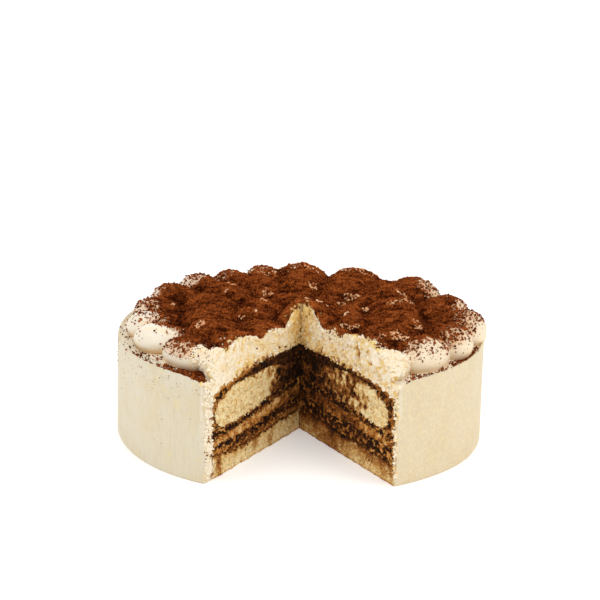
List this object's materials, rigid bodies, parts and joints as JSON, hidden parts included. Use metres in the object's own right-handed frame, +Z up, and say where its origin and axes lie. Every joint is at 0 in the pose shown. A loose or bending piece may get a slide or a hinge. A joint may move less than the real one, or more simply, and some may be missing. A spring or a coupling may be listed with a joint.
{
  "type": "round tiramisu cake with a slice taken out",
  "caption": "Round layered tiramisu with one wedge cut out, soaked sponge and coffee layers showing, cream coat and rings of piped cream dollops under cocoa",
  "frame": {"origin": "middle of the bounding box on the surface the cake stands on; the cake's own round axis is 6.2 mm towards -Y from it", "axes": "+Z up; -Y towards the opening of the missing wedge; +X to the right seen from there"},
  "size_m": [0.2002, 0.1864, 0.0749],
  "materials": {
    "sponge": "open pale sponge crumb, stained with coffee",
    "coffee": "dark coffee-soaked crumb",
    "coffee_cream": "coffee cream marbled with brown",
    "cocoa": "dry dark cocoa",
    "cream": "smoothed mascarpone cream, faintly streaked",
    "piped_cream": "soft piped cream, dusted with cocoa"
  },
  "bodies": {
    "root": {"base_sponge": "sponge", "coffee_layer_lower": "coffee", "coffee_cream_layer": "coffee_cream", "coffee_layer_upper": "coffee", "ladyfinger_layer": "sponge", "cocoa_layer": "cocoa", "cream_layer": "cream", "side_coat": "cream", "outer_dollop_01": "piped_cream", "outer_dollop_02": "piped_cream", "outer_dollop_03": "piped_cream", "outer_dollop_04": "piped_cream", "outer_dollop_05": "piped_cream", "outer_dollop_06": "piped_cream", "outer_dollop_07": "piped_cream", "outer_dollop_08": "piped_cream", "outer_dollop_09": "piped_cream", "outer_dollop_10": "piped_cream", "outer_dollop_11": "piped_cream", "outer_dollop_12": "piped_cream", "outer_dollop_13": "piped_cream", "outer_dollop_14": "piped_cream", "outer_dollop_15": "piped_cream", "outer_dollop_16": "piped_cream", "outer_dollop_17": "piped_cream", "outer_dollop_18": "piped_cream", "middle_dollop_01": "piped_cream", "middle_dollop_02": "piped_cream", "middle_dollop_03": "piped_cream", "middle_dollop_04": "piped_cream", "middle_dollop_05": "piped_cream", "middle_dollop_06": "piped_cream", "middle_dollop_07": "piped_cream", "middle_dollop_08": "piped_cream", "middle_dollop_09": "piped_cream", "middle_dollop_10": "piped_cream", "middle_dollop_11": "piped_cream", "middle_dollop_12": "piped_cream", "middle_dollop_13": "piped_cream", "inner_dollop_01": "piped_cream", "inner_dollop_02": "piped_cream", "inner_dollop_03": "piped_cream", "inner_dollop_04": "piped_cream", "inner_dollop_05": "piped_cream", "inner_dollop_06": "piped_cream", "inner_dollop_07": "piped_cream", "inner_dollop_08": "piped_cream", "centre_dollop": "piped_cream"}
  },
  "joints": []
}
